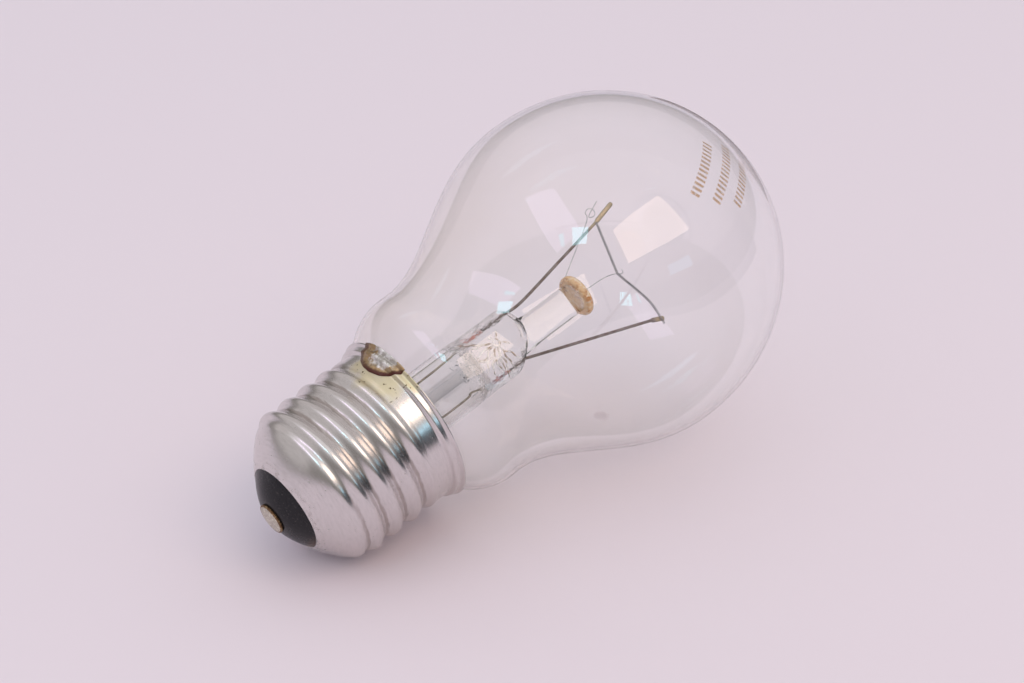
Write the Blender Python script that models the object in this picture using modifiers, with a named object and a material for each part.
"""A dead clear light bulb with a screw cap, lying on its globe and its lowest thread.

Everything is modelled about the bulb's own axis, with the centre contact at z = 0 and the crown
at +z, in metres. The bulb is then laid down: +X runs towards the crown and z = 0 is the table.
"""

import math

import bmesh
import bpy
from mathutils import Vector

MM = 0.001

# Overall sizes
BULB_LENGTH = 97.1 * MM
GLOBE_DIAMETER = 56.8 * MM
CROWN_RISE = 29.6 * MM
NECK_DIAMETER = 33.6 * MM
SEALED_NECK_DIAMETER = 22.0 * MM
GLASS_WALL = 0.6 * MM
NECK_BOTTOM = 13.0 * MM
MOUTH_INSET = 1.2 * MM
SHOULDER_HEIGHT = 8.0 * MM
NECK_LENGTH = 1.6 * MM
NECK_BEND = 80.0 * MM

# Screw cap
THREAD_PITCH = 25.4 / 7 * MM
THREAD_MAJOR_DIAMETER = 26.0 * MM
THREAD_MINOR_DIAMETER = 24.3 * MM
THREAD_FIRST_CREST = 8.45 * MM
THREAD_START = 7.0 * MM
THREAD_END = 22.4 * MM
THREAD_FADE = 1.8 * MM
SKIRT_DIAMETER = 25.5 * MM
RIM_DIAMETER = 27.8 * MM
RIM_HEIGHT = 26.2 * MM
RIM_FLARE = 1.7 * MM
SHELL_WALL = 0.25 * MM
BODY_ROUNDING = 1.6

# Insulator, contact and solder
INSULATOR_DIAMETER = 14.4 * MM
INSULATOR_RISE = 3.0 * MM
INSULATOR_DEPTH = 3.4 * MM
INSULATOR_BORE = 1.8 * MM
CONE_CURVE = 1.5
CONTACT_DIAMETER = 4.9 * MM
CONTACT_THICKNESS = 0.4 * MM
CONTACT_EDGE = 0.1 * MM
SOLDER_DIAMETER = 4.3 * MM
SOLDER_THICKNESS = 0.2 * MM
SIDE_SOLDER_ANGLE = 92.0
SIDE_SOLDER_WIDTH = 7.6 * MM
SIDE_SOLDER_DROP = 4.2 * MM
SIDE_SOLDER_THICKNESS = 0.55 * MM
SIDE_SOLDER_EDGE = 0.14 * MM
SIDE_SOLDER_CORNERS = 0.86

# Capping cement
CEMENT_INSET = 4.2 * MM
CEMENT_HEIGHT = 7.0 * MM
CEMENT_SLOT = 1.6 * MM

# Glass stem, turned about the axis with the leads' plane
LEAD_PLANE_ANGLE = 47.0
FLARE_TUBE_DIAMETER = 10.4 * MM
STEM_WALL = 0.9 * MM
FLARE_HEIGHT = 6.0 * MM
FLARE_CURVE = 2.5
PINCH_LENGTH = 4.0 * MM
PRESS_BOTTOM = 41.6 * MM
PRESS_TOP = 50.6 * MM
PRESS_WIDTH = 10.0 * MM
PRESS_THICKNESS = 3.6 * MM
PRESS_DOME = 3.1 * MM
PRESS_LEAN = 0.28
PRESS_SQUARENESS = 3.0
PRESS_EDGE = 0.5 * MM
EXHAUST_DIAMETER = 2.8 * MM
EXHAUST_BORE = 1.6 * MM
EXHAUST_BOTTOM = 10.0 * MM
ROD_DIAMETER = 5.0 * MM
ROD_OFFSET = 0.7 * MM
ROD_ROOT = 2.0 * MM
ROD_FOOT_DIAMETER = 5.5 * MM
BUTTON_DIAMETER = 7.1 * MM
BUTTON_THICKNESS = 1.9 * MM
BUTTON_TOP = 62.4 * MM

# Wires
SEAL_SPACING = 7.3 * MM
SEAL_WIRE_DIAMETER = 0.42 * MM
INNER_LEAD_DIAMETER = 0.48 * MM
OUTER_LEAD_DIAMETER = 0.34 * MM
SUPPORT_WIRE_DIAMETER = 0.22 * MM
SEAL_SPLIT = 44.7 * MM
SEAL_TAIL = 1.0 * MM
LEAD_KNEE = (3.7 * MM, 0.0, 53.6 * MM)
OUTER_LEAD_SPACING = 6.4 * MM
OUTER_LEAD_BEND = 4.0 * MM
OUTER_LEAD_DIP = 1.2 * MM
OUTER_LEAD_SWEEP = 30.0
CLAMP_WIDTH = 0.8 * MM
CLAMP_THICKNESS = 0.3 * MM
LEFT_CLAMP = (6.75 * MM, 0.0, 71.9 * MM)
LEFT_CLAMP_TIP = (7.8 * MM, 0.0, 76.4 * MM)
RIGHT_CLAMP = (-11.0 * MM, 0.0, 69.6 * MM)
RIGHT_CLAMP_TIP = (-12.0 * MM, 0.0, 71.8 * MM)
FILAMENT_TAIL = 1.0 * MM
FILAMENT_SLACK = 0.6 * MM
FILAMENT_DROP = 0.3 * MM
BOW_PLACE = 0.65
HOOK_FOOT = (-0.8 * MM, 1.6 * MM)
HOOK_BOW = 0.5 * MM
HOOK_TIP = (-1.6 * MM, 2.45 * MM, 69.1 * MM)
PIGTAIL_LOOP = (8.5 * MM, 1.3 * MM, 71.6 * MM)
PIGTAIL_RADIUS = 0.75 * MM
PIGTAIL_PITCH = 0.8 * MM
PIGTAIL_FOOT = (2.7 * MM, 0.6 * MM)
PIGTAIL_END = (0.9 * MM, 0.5 * MM, 1.9 * MM)
FILAMENT_DIAMETER = 0.44 * MM

# Clearances and facets
FINE_GAP = 0.1 * MM
SEAT_GAP = 0.15 * MM
GLASS_SIDES = 36
SHELL_SIDES = 32
SMALL_SIDES = 24
ROWS_PER_PITCH = 5

GLOBE_RADIUS = GLOBE_DIAMETER / 2
GLOBE_CENTRE = BULB_LENGTH - CROWN_RISE
NECK_RADIUS = NECK_DIAMETER / 2
MOUTH_RADIUS = RIM_DIAMETER / 2 - MOUTH_INSET
SHOULDER_TOP = RIM_HEIGHT + SHOULDER_HEIGHT
NECK_TOP = SHOULDER_TOP + NECK_LENGTH
THREAD_MEAN_RADIUS = (THREAD_MAJOR_DIAMETER + THREAD_MINOR_DIAMETER) / 4
THREAD_DEPTH = (THREAD_MAJOR_DIAMETER - THREAD_MINOR_DIAMETER) / 2
INSULATOR_TOP = INSULATOR_RISE + INSULATOR_DEPTH
CEMENT_TOP = RIM_HEIGHT - CEMENT_INSET
CEMENT_BOTTOM = CEMENT_TOP - CEMENT_HEIGHT
ROD_TOP = BUTTON_TOP - BUTTON_THICKNESS


def clear_scene():
    for item in list(bpy.data.objects):
        bpy.data.objects.remove(item, do_unlink=True)


def new_collection(name):
    made = bpy.data.collections.new(name)
    bpy.context.scene.collection.children.link(made)
    return made


def material(name, color, roughness, metallic=0.0, transmission=0.0):
    made = bpy.data.materials.new(name)
    made.use_nodes = True
    made.diffuse_color = (*color, 1.0)
    shader = made.node_tree.nodes["Principled BSDF"]
    shader.inputs["Base Color"].default_value = (*color, 1.0)
    shader.inputs["Roughness"].default_value = roughness
    shader.inputs["Metallic"].default_value = metallic
    shader.inputs["Transmission Weight"].default_value = transmission
    return made


def smoothstep(low, high, value):
    t = min(max((value - low) / (high - low), 0.0), 1.0)
    return t * t * (3 - 2 * t)


def spaced(low, high, count):
    return [low + (high - low) * i / (count - 1) for i in range(count)]


def place(mesh, name, parent, finish, smooth=True):
    """A named object in the bulb's collection, under an empty, with its own material."""
    item = bpy.data.objects.new(name, mesh)
    parts.objects.link(item)
    item.parent = parent
    item.data.materials.append(finish)
    if smooth:
        item.data.shade_smooth()
    return item


def turned(name, outline, sides, parent, finish):
    """A profile of (radius, height) points swept round the axis, with a flat facet underneath."""
    mesh = bpy.data.meshes.new(name)
    points = [(radius, 0.0, height) for radius, height in outline]
    edges = [(i, i + 1) for i in range(len(points) - 1)]
    touches_axis = outline[0][0] == 0.0
    if not touches_axis:
        edges.append((len(points) - 1, 0))
    mesh.from_pydata(points, edges, [])
    item = place(mesh, name, parent, finish, smooth=False)
    item.rotation_euler[2] = math.pi / sides
    screw = item.modifiers.new("turn", "SCREW")
    screw.steps = sides
    screw.render_steps = sides
    screw.use_merge_vertices = True
    screw.merge_threshold = 1e-6
    screw.use_smooth_shade = True
    return item


def offset_outline(outline, distance):
    """The same outline moved sideways, to the left of the way that it runs."""
    moved = []
    for i, (radius, height) in enumerate(outline):
        before = outline[max(i - 1, 0)]
        after = outline[min(i + 1, len(outline) - 1)]
        run = Vector((after[0] - before[0], after[1] - before[1])).normalized()
        if radius == 0.0:
            run = Vector((1.0, 0.0))
        moved.append((radius - run.y * distance, height + run.x * distance))
    return moved


def wire(name, points, diameter, parent, finish):
    """A round wire through the points."""
    curve = bpy.data.curves.new(name, "CURVE")
    curve.dimensions = "3D"
    curve.bevel_depth = diameter / 2
    curve.bevel_resolution = 2
    curve.use_fill_caps = True
    spline = curve.splines.new("POLY")
    spline.points.add(len(points) - 1)
    for target, point in zip(spline.points, points):
        target.co = (*point, 1.0)
    return place(curve, name, parent, finish, smooth=False)


def ring(centre, across, through, half_width, half_depth, sides, squareness=2.0):
    """A closed section: an ellipse at squareness 2, and nearer a rectangle above it."""
    made = []
    for i in range(sides):
        angle = 2 * math.pi * (i + 0.5) / sides
        c, s = math.cos(angle), math.sin(angle)
        a = math.copysign(abs(c) ** (2 / squareness), c) * half_width
        b = math.copysign(abs(s) ** (2 / squareness), s) * half_depth
        made.append(Vector(centre) + Vector(across) * a + Vector(through) * b)
    return made


def loft(name, rings, parent, finish):
    """A closed solid through rings of the same number of points, its ends closed in strips."""
    built = bmesh.new()
    rows = [[built.verts.new(point) for point in row] for row in rings]
    sides = len(rings[0])
    for low, high in zip(rows, rows[1:]):
        for i in range(sides):
            j = (i + 1) % sides
            built.faces.new((low[i], low[j], high[j], high[i]))
    for end in (rows[0], rows[-1]):
        for i in range(sides // 2 - 1):
            built.faces.new((end[i], end[i + 1], end[-2 - i], end[-1 - i]))
    bmesh.ops.recalc_face_normals(built, faces=built.faces)
    mesh = bpy.data.meshes.new(name)
    built.to_mesh(mesh)
    built.free()
    return place(mesh, name, parent, finish)


def through_points(points, steps):
    """A smooth path through the points, with that many steps between each two."""
    ends = [2 * Vector(points[0]) - Vector(points[1]), *map(Vector, points)]
    ends.append(2 * ends[-1] - ends[-2])
    path = []
    for a, b, c, d in zip(ends, ends[1:], ends[2:], ends[3:]):
        for step in range(steps):
            t = step / steps
            bend = 2 * b + t * (c - a) + t * t * (2 * a - 5 * b + 4 * c - d)
            path.append(0.5 * (bend + t**3 * (3 * b - a - 3 * c + d)))
    return [*path, ends[-2]]


def cut(item, cutter):
    cutter.hide_render = True
    cutter.display_type = "WIRE"
    for owner in list(cutter.users_collection):
        owner.objects.unlink(cutter)
    cutters.objects.link(cutter)
    hole = item.modifiers.new("cut", "BOOLEAN")
    hole.operation = "DIFFERENCE"
    hole.object = cutter


def glass_radius(height):
    """Outer radius of the blown glass, from the sealed neck up to the globe's widest circle."""
    sealed = SEALED_NECK_DIAMETER / 2
    if height < RIM_HEIGHT:
        return sealed + (MOUTH_RADIUS - sealed) * smoothstep(RIM_HEIGHT - RIM_FLARE, RIM_HEIGHT, height)
    if height < SHOULDER_TOP:
        left = (SHOULDER_TOP - height) / SHOULDER_HEIGHT
        return NECK_RADIUS - (NECK_RADIUS - MOUTH_RADIUS) * left**2
    length = GLOBE_CENTRE - NECK_TOP
    t = max(height - NECK_TOP, 0.0) / length
    rise = t**3 * (10 - 15 * t + 6 * t**2)
    flare = NECK_BEND / 2 * t**2 * (1 - t) ** 3
    globe_bend = length**2 * GLOBE_RADIUS / CROWN_RISE**2
    return NECK_RADIUS + (GLOBE_RADIUS - NECK_RADIUS) * rise + flare - globe_bend / 2 * t**3 * (1 - t) ** 2


def glass_heights():
    heights = [NECK_BOTTOM, *spaced(RIM_HEIGHT - RIM_FLARE, RIM_HEIGHT, 4)]
    heights += spaced(RIM_HEIGHT, SHOULDER_TOP, 5)[1:]
    return heights + spaced(NECK_TOP, GLOBE_CENTRE, 8)


def make_envelope():
    crown = [
        (GLOBE_RADIUS * math.cos(angle), GLOBE_CENTRE + CROWN_RISE * math.sin(angle))
        for angle in spaced(0.0, math.pi / 2, 8)[1:]
    ]
    crown[-1] = (0.0, BULB_LENGTH)
    outside = [(glass_radius(height), height) for height in glass_heights()] + crown
    outside.reverse()
    inside = offset_outline(outside, -GLASS_WALL)
    return turned("glass_envelope", outside + inside[::-1], GLASS_SIDES, bulb, clear_glass)


def body_radius(height):
    """Mean radius of the shell's outside at a height, without its thread."""
    if height < THREAD_START + THREAD_FADE:
        left = 1 - (height - INSULATOR_RISE) / (THREAD_START + THREAD_FADE - INSULATOR_RISE)
        reach = THREAD_MEAN_RADIUS - INSULATOR_DIAMETER / 2
        return THREAD_MEAN_RADIUS - reach * max(left, 0.0) ** BODY_ROUNDING
    to_skirt = smoothstep(THREAD_END - THREAD_FADE, THREAD_END, height)
    return THREAD_MEAN_RADIUS + (SKIRT_DIAMETER / 2 - THREAD_MEAN_RADIUS) * to_skirt


def shell_radius(height, angle):
    """Outside of the pressed shell: a right-hand round thread that fades in and out."""
    fade = smoothstep(THREAD_START, THREAD_START + THREAD_FADE, height)
    fade *= 1 - smoothstep(THREAD_END - THREAD_FADE, THREAD_END, height)
    turn = (height - THREAD_FIRST_CREST) / THREAD_PITCH - angle / (2 * math.pi)
    thread = THREAD_DEPTH / 2 * fade * math.cos(2 * math.pi * turn)
    flare = smoothstep(RIM_HEIGHT - RIM_FLARE, RIM_HEIGHT, height)
    rim = (RIM_DIAMETER - SKIRT_DIAMETER) / 2 * flare
    return body_radius(height) + thread + rim


def shell_heights():
    rows = math.ceil((THREAD_END - THREAD_START) / THREAD_PITCH * ROWS_PER_PITCH)
    heights = spaced(INSULATOR_RISE, THREAD_START, 5)
    heights += spaced(THREAD_START, THREAD_END, rows)[1:]
    heights.append((THREAD_END + RIM_HEIGHT - RIM_FLARE) / 2)
    return heights + spaced(RIM_HEIGHT - RIM_FLARE, RIM_HEIGHT, 4)


def facet_angle(index):
    """Half a side round, so that a flat facet and not an edge lies at the bottom."""
    return 2 * math.pi * (index + 0.5) / SHELL_SIDES


def make_shell():
    built = bmesh.new()
    rows = []
    for height in shell_heights():
        row = []
        for i in range(SHELL_SIDES):
            angle = facet_angle(i)
            radius = shell_radius(height, angle)
            row.append(built.verts.new((radius * math.cos(angle), radius * math.sin(angle), height)))
        rows.append(row)
    for low, high in zip(rows, rows[1:]):
        for i in range(SHELL_SIDES):
            j = (i + 1) % SHELL_SIDES
            built.faces.new((low[i], low[j], high[j], high[i]))
    mesh = bpy.data.meshes.new("cap_shell")
    built.to_mesh(mesh)
    built.free()
    shell = place(mesh, "cap_shell", bulb, bright_metal)
    wall = shell.modifiers.new("wall", "SOLIDIFY")
    wall.thickness = SHELL_WALL
    wall.offset = -1.0
    return shell


def make_insulator():
    """The black glass cone, and the plug that it fills inside the shell's lower body."""
    bore = INSULATOR_BORE / 2
    edge = INSULATOR_DIAMETER / 2 - 2 * SEAT_GAP
    seat = CONTACT_DIAMETER / 2 + FINE_GAP
    face = SOLDER_THICKNESS + CONTACT_THICKNESS + FINE_GAP
    cone = [
        (seat + (edge - seat) * t, face + (INSULATOR_RISE - face) * t**CONE_CURVE)
        for t in spaced(1.0, 0.0, 6)
    ]
    clear = SHELL_WALL + SEAT_GAP
    heights = spaced(INSULATOR_TOP, INSULATOR_RISE + clear, 5)
    plug = [(body_radius(height) - 2 * clear - FINE_GAP, height) for height in heights]
    outline = [(bore, INSULATOR_TOP), *plug, *cone, (bore, face)]
    return turned("cap_insulator", outline, SMALL_SIDES, bulb, black_glass)


def make_contact():
    outer = CONTACT_DIAMETER / 2
    low = SOLDER_THICKNESS + FINE_GAP / 2
    high = SOLDER_THICKNESS + CONTACT_THICKNESS
    edge = CONTACT_EDGE
    outline = [(0.0, high), (outer, high), (outer, low + edge), (outer - edge, low), (0.0, low)]
    turned("centre_contact", outline, SMALL_SIDES, bulb, tinned_brass)
    outer = SOLDER_DIAMETER / 2
    edge = SOLDER_THICKNESS * 0.8
    outline = [(0.0, SOLDER_THICKNESS), (outer, SOLDER_THICKNESS)]
    outline += [(outer, edge), (outer - edge, 0.0), (0.0, 0.0)]
    turned("centre_solder", outline, SMALL_SIDES, bulb, dull_solder)


def make_side_solder():
    """A flattened half-round pool of solder that hangs from the rim over the skirt."""
    built = bmesh.new()
    columns, rows = 12, 8
    half_turn = SIDE_SOLDER_WIDTH / 2 / (SKIRT_DIAMETER / 2)
    sheets = []
    for outer in (0, 1):
        sheet = []
        for row in range(rows):
            down = row / (rows - 1)
            line = []
            for column in range(columns):
                across = 2 * column / (columns - 1) - 1
                drop = SIDE_SOLDER_DROP * down * math.sqrt(1 - SIDE_SOLDER_CORNERS * across**2)
                height = RIM_HEIGHT - drop
                angle = math.radians(SIDE_SOLDER_ANGLE) + half_turn * across
                bulge = (1 - across**2) ** 0.5 * (1 - down**4)
                radius = shell_radius(height, angle) + SEAT_GAP
                thin, thick = SIDE_SOLDER_EDGE, SIDE_SOLDER_THICKNESS
                radius += outer * (thin + (thick - thin) * bulge)
                line.append(built.verts.new((radius * math.cos(angle), radius * math.sin(angle), height)))
            sheet.append(line)
        sheets.append(sheet)
    inner, outer = sheets
    for row in range(rows - 1):
        for column in range(columns - 1):
            for sheet in sheets:
                built.faces.new(
                    (
                        sheet[row][column],
                        sheet[row][column + 1],
                        sheet[row + 1][column + 1],
                        sheet[row + 1][column],
                    )
                )
    border = [(0, column) for column in range(columns)]
    border += [(row, columns - 1) for row in range(1, rows)]
    border += [(rows - 1, column) for column in range(columns - 2, -1, -1)]
    border += [(row, 0) for row in range(rows - 2, 0, -1)]
    for (r0, c0), (r1, c1) in zip(border, border[1:] + border[:1]):
        built.faces.new((inner[r0][c0], inner[r1][c1], outer[r1][c1], outer[r0][c0]))
    bmesh.ops.recalc_face_normals(built, faces=built.faces)
    mesh = bpy.data.meshes.new("side_solder")
    built.to_mesh(mesh)
    built.free()
    return place(mesh, "side_solder", bulb, dull_solder)


def make_cement():
    low = SEALED_NECK_DIAMETER / 2 + SEAT_GAP
    high = THREAD_MINOR_DIAMETER / 2 - SHELL_WALL - SEAT_GAP
    outline = [(high, CEMENT_TOP), (high, CEMENT_BOTTOM), (low, CEMENT_BOTTOM), (low, CEMENT_TOP)]
    cement = turned("capping_cement", outline, SHELL_SIDES, bulb, grey_cement)
    mesh = bpy.data.meshes.new("cement_slot")
    built = bmesh.new()
    bmesh.ops.create_cube(built, size=1.0)
    built.to_mesh(mesh)
    built.free()
    slot = bpy.data.objects.new("cement_slot", mesh)
    bpy.context.scene.collection.objects.link(slot)
    slot.parent = bulb
    slot.scale = (4 * (high - low), CEMENT_SLOT, 2 * CEMENT_HEIGHT)
    angle = math.radians(SIDE_SOLDER_ANGLE)
    middle = (low + high) / 2
    slot.location = (middle * math.cos(angle), middle * math.sin(angle), CEMENT_BOTTOM + CEMENT_HEIGHT / 2)
    slot.rotation_euler[2] = angle
    cut(cement, slot)
    return cement


def press_top(x):
    """Height of the press's domed top, which leans down towards the right lead."""
    return PRESS_TOP + PRESS_LEAN * x - PRESS_DOME * (2 * x / PRESS_WIDTH) ** 2


def make_stem():
    """The flare, sealed to the neck, that runs up as a tube and is pinched flat into the press."""
    tube = FLARE_TUBE_DIAMETER / 2
    foot = SEALED_NECK_DIAMETER / 2 - GLASS_WALL - SEAT_GAP
    across, through = (1, 0, 0), (0, 1, 0)
    pinch_start = PRESS_BOTTOM - PINCH_LENGTH
    outer, inner = [], []
    for t in (0.0, 0.25, 0.5, 0.75, 1.0):
        height = NECK_BOTTOM + FLARE_HEIGHT * t
        radius = tube + (foot - tube) * (1 - t) ** FLARE_CURVE
        outer.append(ring((0, 0, height), across, through, radius, radius, SMALL_SIDES))
        inner.append(
            ring((0, 0, height), across, through, radius - STEM_WALL, radius - STEM_WALL, SMALL_SIDES)
        )
    for height, t in zip(spaced(pinch_start, PRESS_BOTTOM, 4), spaced(0.0, 1.0, 4)):
        ease = smoothstep(0.0, 1.0, t)
        wide = tube + (PRESS_WIDTH / 2 - tube) * ease
        thick = tube + (PRESS_THICKNESS / 2 - tube) * ease
        squareness = 2 + (PRESS_SQUARENESS - 2) * ease
        outer.append(ring((0, 0, height), across, through, wide, thick, SMALL_SIDES, squareness))
        if t < 1.0:
            thin = max(thick - STEM_WALL, STEM_WALL)
            inner.append(
                ring((0, 0, height), across, through, tube - STEM_WALL, thin, SMALL_SIDES)
            )
    for drop, shrink in ((PRESS_EDGE, 0.0), (0.0, PRESS_EDGE)):
        wide, thick = PRESS_WIDTH / 2 - shrink, PRESS_THICKNESS / 2 - shrink
        level = ring((0, 0, 0), across, through, wide, thick, SMALL_SIDES, PRESS_SQUARENESS)
        outer.append([Vector((point.x, point.y, press_top(point.x) - drop)) for point in level])
    stem = loft("stem_flare", inner[::-1] + outer, mount, stem_glass)
    bore = max(SEAL_WIRE_DIAMETER, INNER_LEAD_DIAMETER) / 2 + FINE_GAP
    for side in (1, -1):
        x = side * SEAL_SPACING / 2
        low = ring((x, 0, pinch_start - PINCH_LENGTH), across, through, bore, bore, 8)
        high = ring((x, 0, PRESS_TOP + PINCH_LENGTH), across, through, bore, bore, 8)
        name = "seal_bore_left" if side > 0 else "seal_bore_right"
        cut(stem, loft(name, [low, high], mount, stem_glass))
    return stem


def make_exhaust():
    """The tube that the air was drawn out through, tipped off at its lower end."""
    outer, bore = EXHAUST_DIAMETER / 2, EXHAUST_BORE / 2
    top = PRESS_BOTTOM - PINCH_LENGTH / 3 - FINE_GAP
    tip = [
        (outer * math.cos(angle), EXHAUST_BOTTOM + outer * (1 + math.sin(angle)))
        for angle in spaced(0.0, -math.pi / 2, 4)
    ]
    tip[-1] = (0.0, EXHAUST_BOTTOM)
    floor = EXHAUST_BOTTOM + 2 * (outer - bore) + outer
    outline = [(0.0, floor), (bore, floor), (bore, top), (outer, top), *tip]
    turned("exhaust_tube", outline, 16, mount, stem_glass)


def make_rod():
    rod = ROD_DIAMETER / 2
    middle = (-ROD_OFFSET, 0.0)
    across, through = (1, 0, 0), (0, 1, 0)
    foot = ring((*middle, 0.0), across, through, ROD_FOOT_DIAMETER / 2, min(rod, PRESS_THICKNESS / 2), 16)
    rings = [[Vector((point.x, point.y, press_top(point.x) + FINE_GAP)) for point in foot]]
    for height in (PRESS_TOP + ROD_ROOT, ROD_TOP - FINE_GAP):
        rings.append(ring((*middle, height), across, through, rod, rod, 16))
    loft("stem_rod", rings, mount, stem_glass)
    half = BUTTON_THICKNESS / 2
    middle = BUTTON_TOP - half
    flat = BUTTON_DIAMETER / 2 - half
    rounded = [
        (flat + half * math.cos(angle), middle + half * math.sin(angle))
        for angle in spaced(math.pi / 2, -math.pi / 2, 7)
    ]
    outline = [(0.0, BUTTON_TOP), *rounded, (0.0, ROD_TOP)]
    button = turned("rod_button", outline, SMALL_SIDES, mount, amber_glass)
    button.location.x = -ROD_OFFSET


def make_lead(name, side, knees, clamp, tip):
    """An inner lead, straight inside the press and bent above it, hammered flat on the filament."""
    x = side * SEAL_SPACING / 2
    mouth = Vector((x, 0.0, press_top(x) + FINE_GAP))
    path = [Vector((x, 0.0, SEAL_SPLIT + FINE_GAP)), *through_points([mouth, *knees, clamp], 3)]
    through = Vector((0, 1, 0))
    rings = []
    for i, point in enumerate(path):
        along = path[min(i + 1, len(path) - 1)] - path[max(i - 1, 0)]
        across = along.cross(through).normalized()
        rings.append(ring(point, across, through, INNER_LEAD_DIAMETER / 2, INNER_LEAD_DIAMETER / 2, 8))
    clamp, tip = path[-1], Vector(tip)
    across = (tip - clamp).cross(through).normalized()
    for t, half in ((0.12, CLAMP_WIDTH / 2), (0.92, CLAMP_WIDTH / 2), (1.0, 0.4 * CLAMP_WIDTH)):
        rings.append(ring(clamp.lerp(tip, t), across, through, half, CLAMP_THICKNESS / 2, 8))
    return loft(name, rings, mount, nickel_wire)


def make_inner_leads():
    knee, clamp = Vector(LEAD_KNEE), Vector(LEFT_CLAMP)
    make_lead("left_inner_lead", 1, [knee, knee.lerp(clamp, 0.5)], clamp, LEFT_CLAMP_TIP)
    make_lead("right_inner_lead", -1, [], Vector(RIGHT_CLAMP), RIGHT_CLAMP_TIP)


def make_seal_wires():
    for side, name in ((1, "left_seal_wire"), (-1, "right_seal_wire")):
        x = side * SEAL_SPACING / 2
        low = (x, 0.0, PRESS_BOTTOM - SEAL_TAIL)
        high = (x, 0.0, SEAL_SPLIT)
        wire(name, [low, high], SEAL_WIRE_DIAMETER, mount, copper_wire)


def in_mount(angle_degrees, radius, height):
    """A point given by its angle about the bulb, in the mount's turned frame."""
    angle = math.radians(angle_degrees - LEAD_PLANE_ANGLE)
    return (radius * math.cos(angle), radius * math.sin(angle), height)


def make_outer_leads():
    """One runs round the neck's foot and up to the side solder, the other down to the contact."""
    x = SEAL_SPACING / 2
    top = PRESS_BOTTOM - SEAL_TAIL - FINE_GAP
    inside = OUTER_LEAD_SPACING / 2
    below = NECK_BOTTOM - OUTER_LEAD_DIP
    gap = (SEALED_NECK_DIAMETER / 2 + THREAD_MINOR_DIAMETER / 2 - SHELL_WALL) / 2
    angle = SIDE_SOLDER_ANGLE
    left = [
        (x, 0.0, top),
        (inside, 0.0, top - OUTER_LEAD_BEND),
        (inside, 0.0, NECK_BOTTOM + FLARE_HEIGHT),
        in_mount(angle - OUTER_LEAD_SWEEP, 0.45 * gap, below + 0.3 * OUTER_LEAD_DIP),
        in_mount(angle - OUTER_LEAD_SWEEP / 4, 0.86 * gap, below - 0.15 * OUTER_LEAD_DIP),
        in_mount(angle, gap, NECK_BOTTOM),
        in_mount(angle, gap, CEMENT_BOTTOM + CEMENT_HEIGHT / 2),
    ]
    for height in (CEMENT_TOP, *spaced(RIM_HEIGHT - RIM_FLARE, RIM_HEIGHT - FINE_GAP, 5)):
        shell = shell_radius(height, math.radians(angle)) - SHELL_WALL
        left.append(in_mount(angle, (glass_radius(height) + shell) / 2, height))
    right = [
        (-x, 0.0, top),
        (-inside, 0.0, top - OUTER_LEAD_BEND),
        (-inside, 0.0, NECK_BOTTOM + FLARE_HEIGHT),
        (-inside, 0.0, EXHAUST_BOTTOM + OUTER_LEAD_DIP),
        (-0.4 * inside, 0.0, EXHAUST_BOTTOM - OUTER_LEAD_DIP),
        (0.0, 0.0, INSULATOR_TOP + 2 * SEAT_GAP),
        (0.0, 0.0, SOLDER_THICKNESS + CONTACT_THICKNESS + 2 * FINE_GAP),
    ]
    wire("left_outer_lead", through_points(left, 2), OUTER_LEAD_DIAMETER, mount, nickel_wire)
    wire("right_outer_lead", through_points(right, 2), OUTER_LEAD_DIAMETER, mount, nickel_wire)


def make_supports():
    """Two fine wires from the button: a hook that still holds the filament and an empty pigtail."""
    up = BUTTON_TOP + FINE_GAP
    tip = Vector(HOOK_TIP)
    foot = Vector((*HOOK_FOOT, up))
    turns = [(-0.1, 0.2, -1.5), (-1.0, 0.2, -0.4), (-1.0, 0.0, 0.8), (-0.1, -0.2, 1.1)]
    hook = [foot, foot.lerp(tip, 0.6) + Vector((0.5, 0.6, 0.0)) * HOOK_BOW]
    hook += [tip + Vector(turn) * HOOK_BOW for turn in turns]
    wire("hook_support", through_points(hook, 3), SUPPORT_WIRE_DIAMETER, mount, grey_wire)
    loop = Vector(PIGTAIL_LOOP)
    foot = Vector((*PIGTAIL_FOOT, up))
    pigtail = [foot, foot.lerp(loop, 0.4), foot.lerp(loop, 0.8)]
    for step in range(7):
        angle = math.radians(-110 + 60 * step)
        pigtail.append(loop + Vector((math.cos(angle), 0.0, math.sin(angle))) * PIGTAIL_RADIUS)
        pigtail[-1].y += PIGTAIL_PITCH * (step / 6 - 0.5)
    pigtail.append(loop + Vector(PIGTAIL_END))
    wire("pigtail_support", through_points(pigtail, 2), SUPPORT_WIRE_DIAMETER, mount, grey_wire)


def make_filament():
    """The slack coil, as a rod of its outer size, from clamp to clamp by way of the hook."""
    lift = Vector((0.0, INNER_LEAD_DIAMETER / 2 + FILAMENT_DIAMETER / 2 + FINE_GAP, 0.0))
    clear = FILAMENT_DIAMETER / 2 + SUPPORT_WIRE_DIAMETER / 2 + FINE_GAP
    left = Vector(LEFT_CLAMP) + lift
    right = Vector(RIGHT_CLAMP).lerp(Vector(RIGHT_CLAMP_TIP), 0.7) + lift
    hook = Vector(HOOK_TIP) + Vector((0.0, -clear, -FILAMENT_DROP))
    bowed = hook.lerp(right, BOW_PLACE) + Vector((0.0, 0.0, FILAMENT_SLACK))
    path = [left, left.lerp(hook, 0.5), left.lerp(hook, 0.93), hook, hook.lerp(right, 0.08)]
    path += [bowed, right, right + Vector((-FILAMENT_TAIL, 0.0, -0.1 * FILAMENT_TAIL))]
    wire("filament", through_points(path, 2), FILAMENT_DIAMETER, mount, grey_wire)


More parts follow.
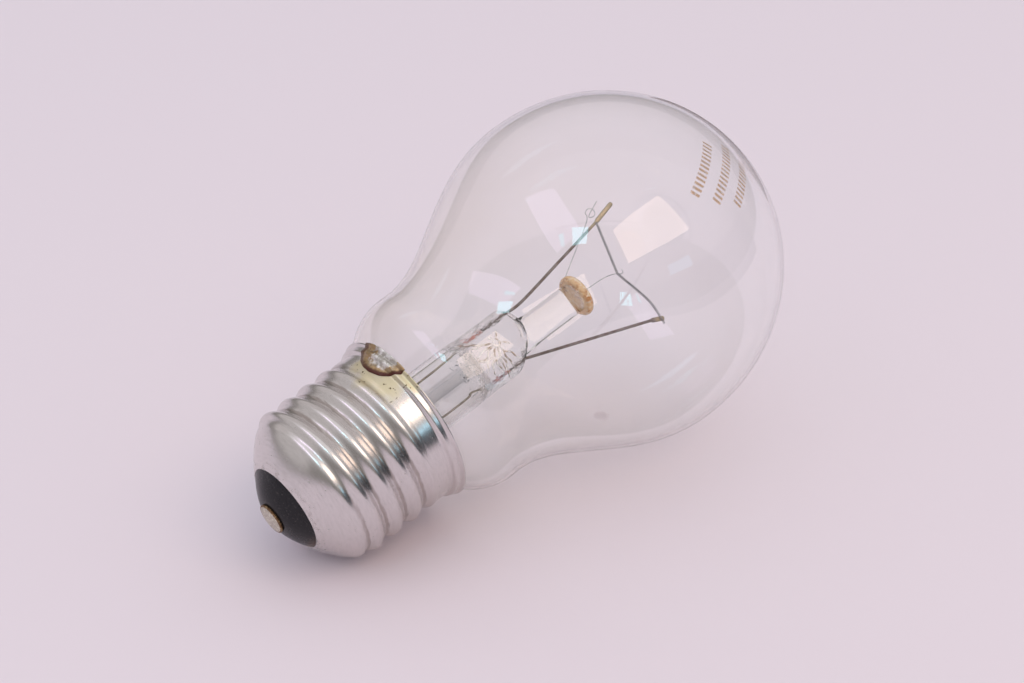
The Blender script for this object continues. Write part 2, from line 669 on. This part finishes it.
def lying_tilt():
    """How far the axis rises towards the crown when the glass and the thread both touch the table."""
    glass = [(glass_radius(height) * math.cos(math.pi / GLASS_SIDES), height) for height in glass_heights()]
    tilts = []
    for height in shell_heights():
        radius = shell_radius(height, -math.pi / 2) * math.cos(math.pi / SHELL_SIDES)
        tilts.append(max(math.atan2(wide - radius, along - height) for wide, along in glass))
    return min(tilts)


def lay_down():
    """Lays the bulb along +X on z = 0, with its box centred on the origin."""
    tilt = lying_tilt()
    bulb.rotation_euler = (math.pi / 2 - tilt, 0.0, math.pi / 2)
    bpy.context.view_layer.update()
    graph = bpy.context.evaluated_depsgraph_get()
    corners = []
    for item in parts.objects:
        if item.type != "EMPTY":
            evaluated = item.evaluated_get(graph)
            mesh = evaluated.to_mesh()
            corners += [evaluated.matrix_world @ vertex.co for vertex in mesh.vertices]
            evaluated.to_mesh_clear()
    low = [min(corner[axis] for corner in corners) for axis in range(3)]
    high = [max(corner[axis] for corner in corners) for axis in range(3)]
    bulb.location = (-(low[0] + high[0]) / 2, -(low[1] + high[1]) / 2, -low[2])


clear_scene()
parts = new_collection("light_bulb")
cutters = new_collection("cutters")
cutters.hide_render = True

clear_glass = material("clear_glass", (0.93, 0.95, 0.94), 0.03, transmission=1.0)
stem_glass = material("stem_glass", (0.92, 0.93, 0.9), 0.05, transmission=1.0)
amber_glass = material("amber_glass", (0.72, 0.5, 0.28), 0.15, transmission=0.5)
bright_metal = material("bright_metal", (0.78, 0.78, 0.8), 0.28, metallic=1.0)
black_glass = material("black_glass", (0.02, 0.02, 0.022), 0.2)
tinned_brass = material("tinned_brass", (0.45, 0.36, 0.28), 0.45, metallic=1.0)
dull_solder = material("dull_solder", (0.55, 0.52, 0.48), 0.55, metallic=1.0)
grey_cement = material("grey_cement", (0.5, 0.47, 0.42), 0.9)
nickel_wire = material("nickel_wire", (0.3, 0.28, 0.26), 0.4, metallic=1.0)
copper_wire = material("copper_wire", (0.55, 0.25, 0.2), 0.4, metallic=1.0)
grey_wire = material("grey_wire", (0.35, 0.35, 0.36), 0.4, metallic=1.0)

bulb = bpy.data.objects.new("bulb_axis", None)
parts.objects.link(bulb)
mount = bpy.data.objects.new("mount_axis", None)
parts.objects.link(mount)
mount.parent = bulb
mount.rotation_euler[2] = math.radians(LEAD_PLANE_ANGLE)

make_envelope()
make_shell()
make_insulator()
make_contact()
make_side_solder()
make_cement()
make_stem()
make_exhaust()
make_rod()
make_inner_leads()
make_seal_wires()
make_outer_leads()
make_supports()
make_filament()
lay_down()
